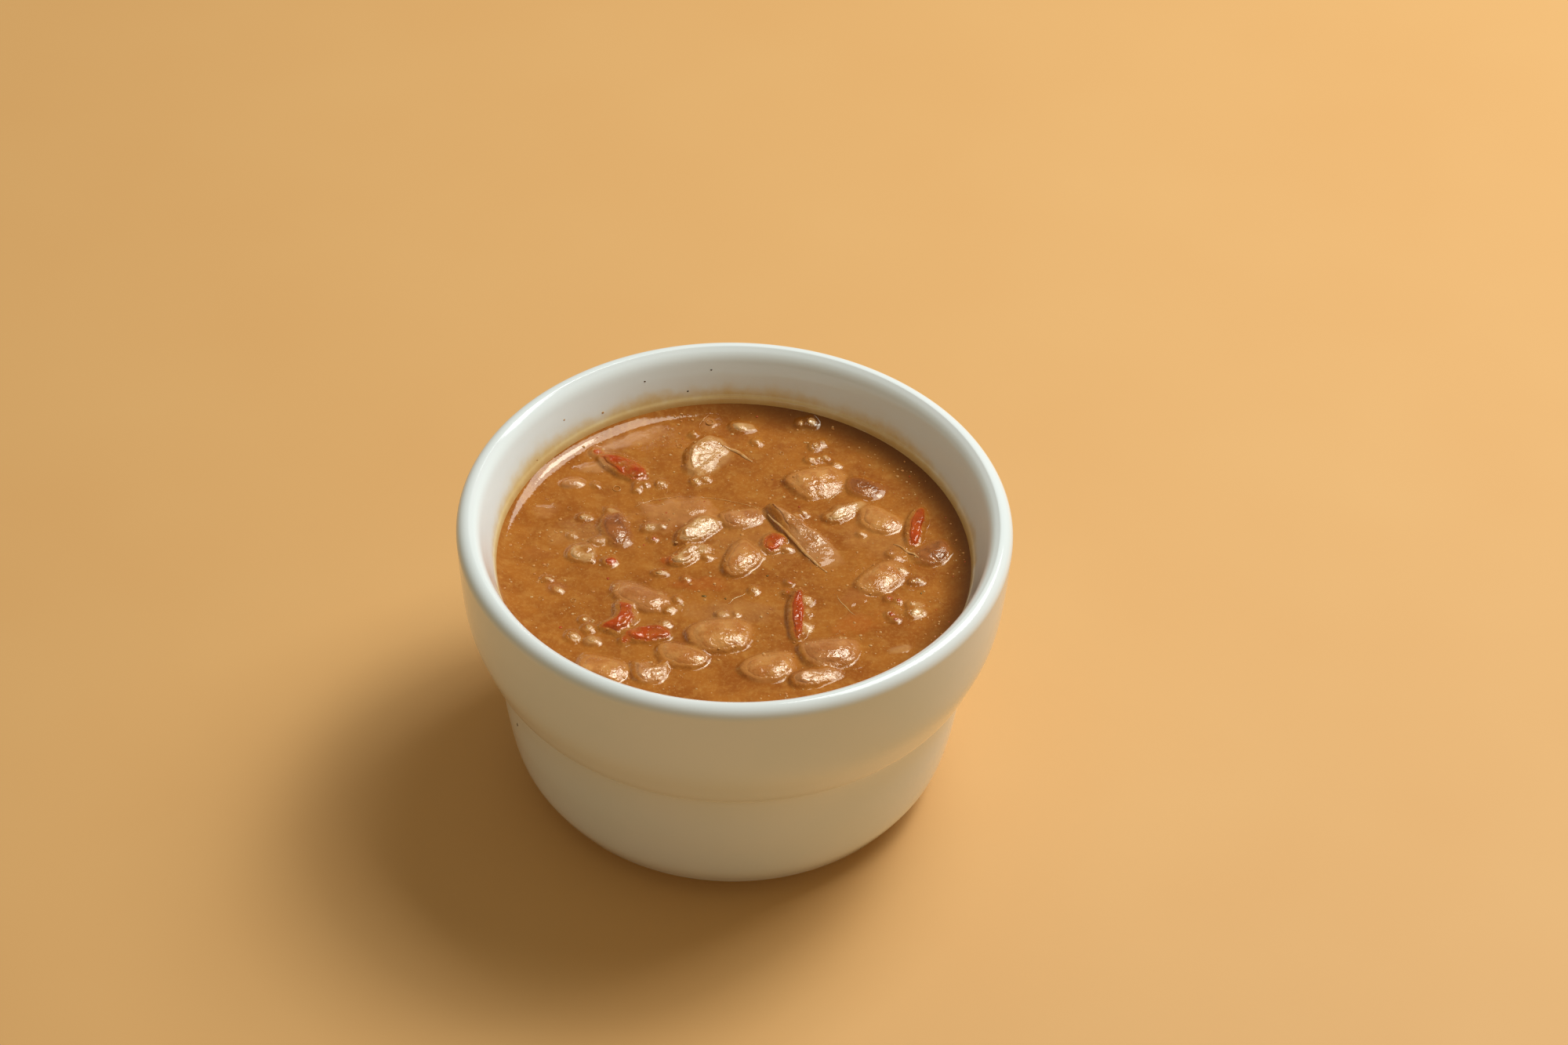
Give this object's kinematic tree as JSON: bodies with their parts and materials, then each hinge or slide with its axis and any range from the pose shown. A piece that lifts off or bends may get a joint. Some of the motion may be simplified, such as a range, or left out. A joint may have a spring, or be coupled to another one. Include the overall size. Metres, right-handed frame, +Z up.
{
  "type": "bowl of charro beans",
  "caption": "Thick white glazed stacking soup cup filled with charro beans: an orange-brown broth with pinto beans, ham, onion and tomato pieces.",
  "frame": {"origin": "centre of the foot ring's underside, at the object's base", "axes": "+Z up, out of the bowl's mouth; +X to the picture's right and +Y away from its camera"},
  "size_m": [0.108, 0.108, 0.063],
  "materials": {
    "glaze": "gloss",
    "broth": "gloss",
    "bean_tan": "gloss",
    "bean_pink": "gloss",
    "bean_dark": "gloss",
    "ham": "satin",
    "onion": "gloss",
    "tomato": "gloss"
  },
  "bodies": {
    "root": {"bowl": "glaze", "broth": "broth", "bean_01": "bean_tan", "bean_02": "bean_dark", "bean_03": "bean_tan", "bean_04": "bean_dark", "bean_05": "bean_tan", "bean_06": "bean_tan", "bean_07": "bean_pink", "bean_08": "bean_pink", "bean_09": "bean_dark", "bean_10": "bean_pink", "bean_11": "bean_tan", "bean_12": "bean_tan", "bean_13": "bean_tan", "bean_14": "bean_pink", "bean_15": "bean_tan", "ham_slice": "ham", "ham_strip": "ham", "ham_curl": "ham", "onion_petal": "onion", "onion_wedge": "onion", "onion_strip": "onion", "onion_sliver": "onion", "onion_bit": "onion", "tomato_chunk": "tomato", "tomato_curl": "tomato", "tomato_skin": "tomato", "tomato_bit": "tomato", "pepper_strip": "tomato", "pepper_piece": "tomato"}
  },
  "joints": []
}
